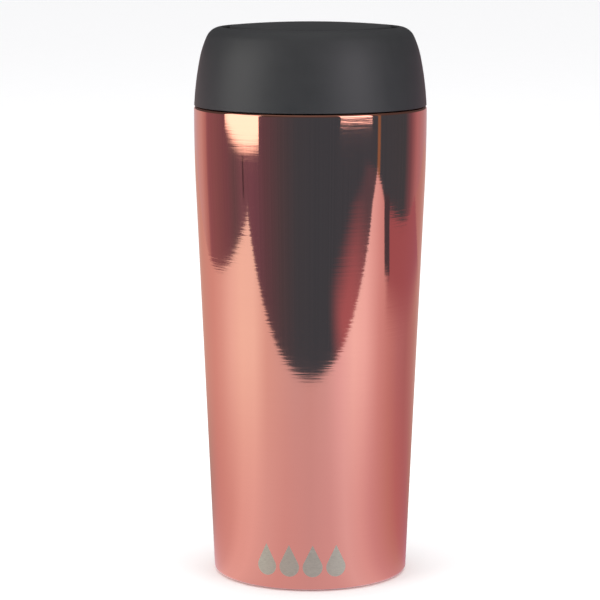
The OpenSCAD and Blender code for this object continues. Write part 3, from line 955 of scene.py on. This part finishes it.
disc.line((STEM_R, PLUG_LOW - 3), (SCREW_R, PLUG_LOW - 3))
piece("valve_plate", turned(disc.closed(), 160), "valve_disc")

# %% [markdown]
# ## The valve seal
# A ring of silicone sits on the disc's ledge and closes the drink's way out. Its upper edge leans in,
# so that it meets the seat on a narrow face.

# %% Valve seal
SEAL_ROUND = 0.3
seal_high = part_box("valve_seal")[1]
SEAL_R = seal_high.x / MM
SEAL_TOP = seal_high.z / MM
seal = Section(RING_IN_R, VALVE_LEDGE)
seal.line((SEAL_R - SEAL_ROUND, VALVE_LEDGE))
seal.arc(SEAL_R - SEAL_ROUND, VALVE_LEDGE + SEAL_ROUND, 90, 5)
seal.line((SEAL_R, VALVE_LEDGE + 1.2), (SEAL_R - 0.7, SEAL_TOP), (RING_IN_R, SEAL_TOP))
piece("valve_ring", turned(seal.closed(), 160), "valve_seal")

# %% [markdown]
# ## The return spring
# A coil of round wire stands between the floor of the sleeve and the washer under the rotor. It is a
# circle carried round the axis with a rise at each step.

# %% Return spring
spring_low, spring_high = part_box("return_spring")
WIRE_R = 0.4
COIL_TURNS = 4.5
COIL_R = STEM_R + 1.8
coil_rise = spring_high.z - spring_low.z - 2 * WIRE_R * MM
coil = bmesh.new()
wire = bmesh.ops.create_circle(coil, cap_ends=True, radius=WIRE_R * MM, segments=12)["verts"]
bmesh.ops.rotate(coil, verts=wire, cent=(0, 0, 0), matrix=rotation(90, "X"))
start = Vector((COIL_R * MM, 0, spring_low.z + WIRE_R * MM))
bmesh.ops.translate(coil, vec=start, verts=wire)
COIL_STEPS = 160
step_rise = (0, 0, coil_rise / COIL_STEPS)
sweep = COIL_TURNS * math.tau
bmesh.ops.spin(coil, geom=coil.faces[:], **UPRIGHT, dvec=step_rise, angle=sweep, steps=COIL_STEPS)
bmesh.ops.recalc_face_normals(coil, faces=coil.faces)
spring = piece("coil_spring", coil, "return_spring", crease=60)
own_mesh(spring)

# %% [markdown]
# ## The studio
# A mirror shows the room rather than itself, so the room matters as much as the object. The floor that
# the camera sees is plain and pale. The wall of the tumbler sees something else: a white table top that
# ends not far in front of it, a dim room beyond, and windows. A few plain cards give those clean edges.
# Only reflections can see them, so they light nothing and hide nothing.

# %% Cards for reflections
# Each card glows with painted light: its colour is the light that a thing of the room would send to the
# mirror.
def glow(name, colour, strength=1):
    """A plain self-lit surface."""
    finish = Finish(name)
    shader = finish.node("ShaderNodeEmission", {}, {"Color": colour, "Strength": strength})
    finish.node("ShaderNodeOutputMaterial", {}, {"Surface": shader})
    return finish


def reflected_only(name, bm, finish):
    """A stage piece that is seen only in reflections."""
    card = add_mesh(name, bm, finish.material)
    card.visible_camera = False
    card.visible_diffuse = False
    card.visible_shadow = False
    card.visible_transmission = False
    print("card", name)


def flat_card(name, corners, height, finish):
    """A flat card lying at a height, with corners (x, y) in millimetres."""
    bm = bmesh.new()
    bm.faces.new([bm.verts.new((x * MM, y * MM, height * MM)) for x, y in corners])
    reflected_only(name, bm, finish)


def upright_card(name, azimuths, heights, distance, finish):
    """A curved card that stands round the object. Azimuth 0 is the front and 90 the right."""
    bm = bmesh.new()
    low, high = [bm.verts.new((0, -distance * MM, height * MM)) for height in heights]
    edge = bm.edges.new((low, high))
    bmesh.ops.rotate(bm, verts=[low, high], cent=(0, 0, 0), matrix=rotation(azimuths[0]))
    sweep = math.radians(azimuths[1] - azimuths[0])
    bmesh.ops.spin(bm, geom=[low, high, edge], **UPRIGHT, angle=sweep, steps=12)
    reflected_only(name, bm, finish)


print("cards can be flat or upright")

# %% [markdown]
# ## The table that the wall reflects
# The white table top fills most of the mirror. The card's glow is painted light and shade on it: bright
# and a little blue on both sides, greyer in front, and pink behind. A mirror turns directions into places
# on the wall, so the colour is given by compass direction, once for the far part of the table and once
# near the foot, mixed by distance. Near the foot it is darker and pinker: painted shade of the tumbler,
# and a painted reflection of its pink wall.

# %% Table light
def compass(finish, stops):
    """A colour that changes with the direction from the axis, from -180 to 180 degrees."""
    turn = finish.around() / math.tau + 0.5
    places = [((azimuth + 180) / 360, colour) for azimuth, colour in stops]
    return finish.node("ShaderNodeValToRGB", {"stops": places}, {"Fac": turn})


def ramp(finish, value, low, high):
    """0 below low, 1 above high, and smooth between."""
    sockets = {"Value": value, "From Min": low, "From Max": high}
    return finish.node("ShaderNodeMapRange", {"interpolation_type": "SMOOTHSTEP"}, sockets)


TABLE_NEAR = 60
TABLE_FAR = 420
table_light = Finish("table_light")
FAR_COLOURS = [
    (-180, (0.69, 0.46, 0.40)), (-150, (0.70, 0.47, 0.41)),
    (-120, (0.81, 0.62, 0.64)), (-105, (0.90, 0.79, 0.84)),
    (-90, (1.04, 1.05, 1.12)), (-75, (1.12, 1.22, 1.26)),
    (-60, (1.10, 1.20, 1.25)), (-45, (0.89, 0.84, 0.90)),
    (-15, (0.76, 0.75, 0.90)), (0, (0.76, 0.71, 0.84)),
    (15, (0.81, 0.79, 0.96)), (30, (1.00, 0.96, 1.20)),
    (45, (1.14, 1.19, 1.40)), (57, (1.09, 1.08, 1.29)),
    (75, (0.81, 0.64, 0.77)), (90, (0.67, 0.47, 0.56)),
    (105, (0.55, 0.35, 0.45)), (120, (0.49, 0.29, 0.36)),
    (150, (0.58, 0.39, 0.37)), (180, (0.69, 0.46, 0.40)),
]
far_colour = compass(table_light, FAR_COLOURS)
# Near the foot: painted shade under the tumbler, with a painted reflection of its pink wall.
NEAR_SHADE_COLOURS = [
    (-180, (0.44, 0.27, 0.25)), (-150, (0.46, 0.30, 0.27)),
    (-120, (0.72, 0.48, 0.51)), (-90, (0.82, 0.65, 0.73)),
    (-75, (0.94, 0.82, 0.93)), (-60, (0.96, 0.87, 1.00)),
    (-45, (0.87, 0.79, 0.93)), (-25, (0.80, 0.68, 0.81)),
    (0, (0.75, 0.67, 0.83)), (20, (0.80, 0.72, 0.90)),
    (35, (0.91, 0.87, 1.08)), (50, (0.88, 0.77, 0.95)),
    (65, (0.76, 0.59, 0.75)), (90, (0.64, 0.43, 0.48)),
    (105, (0.58, 0.31, 0.38)), (130, (0.50, 0.24, 0.30)),
    (150, (0.48, 0.27, 0.23)), (180, (0.44, 0.27, 0.25)),
]
near_shade_colour = compass(table_light, NEAR_SHADE_COLOURS)
x, y, z = table_light.place()
reach = table_light.math("SQRT", x * x + y * y)
farness = ramp(table_light, reach, TABLE_NEAR, TABLE_FAR)
table_colour = table_light.mix(farness, near_shade_colour, far_colour)
shader = table_light.node("ShaderNodeEmission", {}, {"Color": table_colour, "Strength": 1})
table_light.node("ShaderNodeOutputMaterial", {}, {"Surface": shader})
print("the table's light has", len(table_light.tree.nodes), "nodes")

# %% [markdown]
# ## The table's outline
# The edge of the table shows in the mirror as a deep, dark arch with notches on the right, where other
# things stand at its edge. A dark leg lies across its right side. Both are flat cards with a few
# corners, in millimetres from the tumbler's axis, with the front towards minus y.

# %% Table top and dark leg
TABLE = [(-650, -310), (560, -322), (961, -385), (881, -262), (778, -169), (724, -146), (766, -30)]
TABLE += [(738, 300), (745, 1500), (-560, 1500), (-560, 430)]
flat_card("table_top", TABLE, -1, table_light)

DARK_LEG = [(560, -95), (830, -190), (835, -84), (563, -24)]
flat_card("dark_leg", DARK_LEG, -0.4, glow("dark_leg", (0.085, 0.10, 0.15)))

# %% [markdown]
# ## A red cloth and a pink shade
# A red cloth lies on the floor beyond the table's front edge, and fades into the dark of the room. A
# pink shade falls on the far right of the table, and fades towards the tumbler. An edge that fades
# can't be drawn with corners, so these cards are see-through by a share that changes over them.

# %% Red cloth and pink shade
DEGREES = 180 / math.pi


def see_through(name, colour, strength, cover):
    """A self-lit card whose cover goes from 0, clear, to 1, solid."""
    finish, share = cover(Finish(name))
    clear = finish.node("ShaderNodeBsdfTransparent", {}, {})
    lit = finish.node("ShaderNodeEmission", {}, {"Color": colour, "Strength": strength})
    both = finish.node("ShaderNodeMixShader", {}, {0: share, 1: clear, 2: lit})
    finish.node("ShaderNodeOutputMaterial", {}, {"Surface": both})
    return finish


def cloth_cover(finish):
    x, y, z = finish.place()
    fade = ramp(finish, y + x * 0.25, -470, -290)
    left = ramp(finish, x, 120, 240)
    dim = ramp(finish, x, 280, 660)
    return finish, fade * left * (1 - dim * 0.85)


RED_CLOTH = [(60, -314), (560, -323), (960, -386), (960, -760), (150, -760)]
flat_card("red_cloth", RED_CLOTH, -0.8, see_through("red_cloth", (0.46, 0.23, 0.32), 1, cloth_cover))


def shade_cover(finish):
    x, y, z = finish.place()
    turn = finish.around() * DEGREES
    return finish, ramp(finish, x + y * 0.16, 400, 590) * ramp(finish, turn, 80, 87)


PINK_SHADE = [(400, -72), (562, -97), (563, -24), (640, -44), (766, -72), (768, 0), (738, 300), (745, 600)]
PINK_SHADE += [(330, 600), (400, 0)]
flat_card("pink_shade", PINK_SHADE, -0.5, see_through("pink_shade", (0.42, 0.20, 0.28), 1, shade_cover))

# %% [markdown]
# ## Windows and posts
# The bright patches under the lid are two windows, and the thin lines beside them are a tan post and a
# dark one. All four are strips of a wide ring round the tumbler. The left window's lower edge is a
# curve worked out from the direction of each point, and a noise frays it as real blinds would.

# %% Windows and posts
WINDOW_MIDDLE = -63
WINDOW_CURVE = 0.075
WINDOW_LOWEST = -13
WINDOW_FRAY = 20


def window_cover(finish):
    across = finish.around() * DEGREES - WINDOW_MIDDLE
    edge = across * across * WINDOW_CURVE + WINDOW_LOWEST
    smear = finish.noise(22, 3) * WINDOW_FRAY
    return finish, ramp(finish, finish.place()[2] - edge - smear, -40, 8)


left_window = see_through("left_window", (1, 0.98, 0.94), 2.5, window_cover)
upright_card("left_window", (-92, -51.5), (-30, 1100), 1500, left_window)
upright_card("right_window", (29, 62), (50, 1100), 1500, glow("right_window", (1, 0.93, 1), 2.9))
upright_card("tan_post", (68.4, 71.6), (-60, 1100), 1200, glow("tan_post", (0.32, 0.25, 0.17)))
upright_card("dark_post", (-70.2, -68.8), (-75, 5), 1200, glow("dark_post", (0.07, 0.06, 0.09)))

# %% [markdown]
# ## The room and the white round it
# The world gives three answers. To the camera it is plain white, to rough surfaces it is an even soft
# light, and to mirrors it is a dim room whose colour changes with direction.

# %% World
class Surroundings(Finish):
    """The world's nodes, made with the same tools as a finish."""

    def __init__(self):
        self.world = bpy.data.worlds.new("studio")
        bpy.context.scene.world = self.world
        self.world.use_nodes = True
        self.tree = self.world.node_tree
        self.tree.nodes.clear()


room = Surroundings()
ROOM_COLOURS = [
    (-180, (0.78, 0.60, 0.62)), (-138, (0.84, 0.62, 0.64)),
    (-128, (0.68, 0.44, 0.48)), (-123, (0.41, 0.235, 0.32)),
    (-108, (0.34, 0.22, 0.295)), (-92, (0.265, 0.18, 0.27)),
    (-82, (0.20, 0.18, 0.255)), (-73, (0.26, 0.20, 0.31)),
    (-60, (0.25, 0.178, 0.30)), (-46, (0.175, 0.157, 0.24)),
    (-30, (0.115, 0.152, 0.22)), (-14, (0.080, 0.150, 0.225)),
    (5, (0.073, 0.147, 0.224)), (60, (0.076, 0.150, 0.230)),
    (108, (0.082, 0.150, 0.215)), (118, (0.26, 0.18, 0.26)),
    (131, (0.60, 0.36, 0.45)), (180, (0.78, 0.60, 0.62)),
]
room_colour = compass(room, ROOM_COLOURS)
height = room.place()[2]
wall_streaks = room.lines(room.around() * 40, 1, 3)
streaked = room.mix(wall_streaks, (0, 0, 0), room_colour)
room_wall = room.mix(0.65, streaked, room_colour)
dim_back = room.mix(ramp(room, height, 0, 90), room_wall, (0.10, 0.10, 0.105))
reflected = room.mix(ramp(room, height, 600, 850), dim_back, (0.3, 0.3, 0.3))
camera_ray = room.node("ShaderNodeLightPath", {}, {}, "Is Camera Ray")
glossy_ray = room.node("ShaderNodeLightPath", {}, {}, "Is Glossy Ray")
for_rough = room.mix(glossy_ray, (1.05, 1.05, 1.06), reflected)
sky = room.mix(camera_ray, for_rough, (1, 1, 1))
shader = room.node("ShaderNodeBackground", {}, {"Color": sky, "Strength": 1})
room.node("ShaderNodeOutputWorld", {}, {"Surface": shader})
print("the world has", len(room.tree.nodes), "nodes")

# %% [markdown]
# ## The floor
# The tumbler stands on white paper, so wide that its edge is never seen. It is hidden from the mirror,
# which sees the table card in its place, and a faint cloudiness keeps it from being one flat white.

# %% Floor
FLOOR_HALF = 6
floor_finish = Finish("floor")
paper = floor_finish.noise(40, 3)
floor_surface = floor_finish.surface(
    Base_Color=floor_finish.mix(paper, (0.955, 0.955, 0.955), (0.975, 0.975, 0.975)), Roughness=0.8
)
floor_bm = bmesh.new()
bmesh.ops.create_grid(floor_bm, x_segments=1, y_segments=1, size=FLOOR_HALF)
floor = add_mesh("floor", floor_bm, floor_surface)
floor.visible_glossy = False
print("the floor is", 2 * FLOOR_HALF, "m wide")

# %% [markdown]
# ## Lamps
# The matt lid needs a soft light with some direction, or it looks flat. Two wide lamps stand left and
# right of the camera, and a third hangs above. They are hidden from the mirror, which would otherwise
# show three bright squares.

# %% Lamps
def soft_lamp(name, place, size, power):
    """A square lamp aimed at the middle of the tumbler."""
    data = bpy.data.lights.new(name, "AREA")
    data.size = size
    data.energy = power
    lamp = add_object(name, data)
    lamp.location = place
    lamp.rotation_euler = (Vector((0, 0, 0.1)) - Vector(place)).to_track_quat("-Z", "Y").to_euler()
    lamp.visible_glossy = False
    print(name, "has", power, "W")


soft_lamp("left_lamp", (-1.3, -0.9, 1.0), 0.9, 7)
soft_lamp("right_lamp", (1.2, -1.1, 0.9), 0.9, 6)
soft_lamp("top_lamp", (0, 0.1, 1.8), 1.2, 8)

# %% [markdown]
# ## The camera
# The camera stands about nine tenths of a metre in front and looks slightly down with a long lens, so
# the sides of the tumbler stay nearly parallel and a little of the foot's curve shows.

# %% Camera
CAMERA_PLACE = (-3.7 * MM, -898 * MM, 238.9 * MM)
CAMERA_PITCH = 8.859
CAMERA_LENS = 151.1
camera_data = bpy.data.cameras.new("camera")
camera_data.lens = CAMERA_LENS
camera_data.sensor_width = 36
camera = add_object("camera", camera_data)
camera.location = CAMERA_PLACE
camera.rotation_euler = (math.radians(90 - CAMERA_PITCH), 0, 0)
bpy.context.scene.camera = camera
bpy.context.scene.view_settings.view_transform = "Standard"
print("the lens is", CAMERA_LENS, "mm, looking down", CAMERA_PITCH, "degrees")

# %% [markdown]
# ## The end
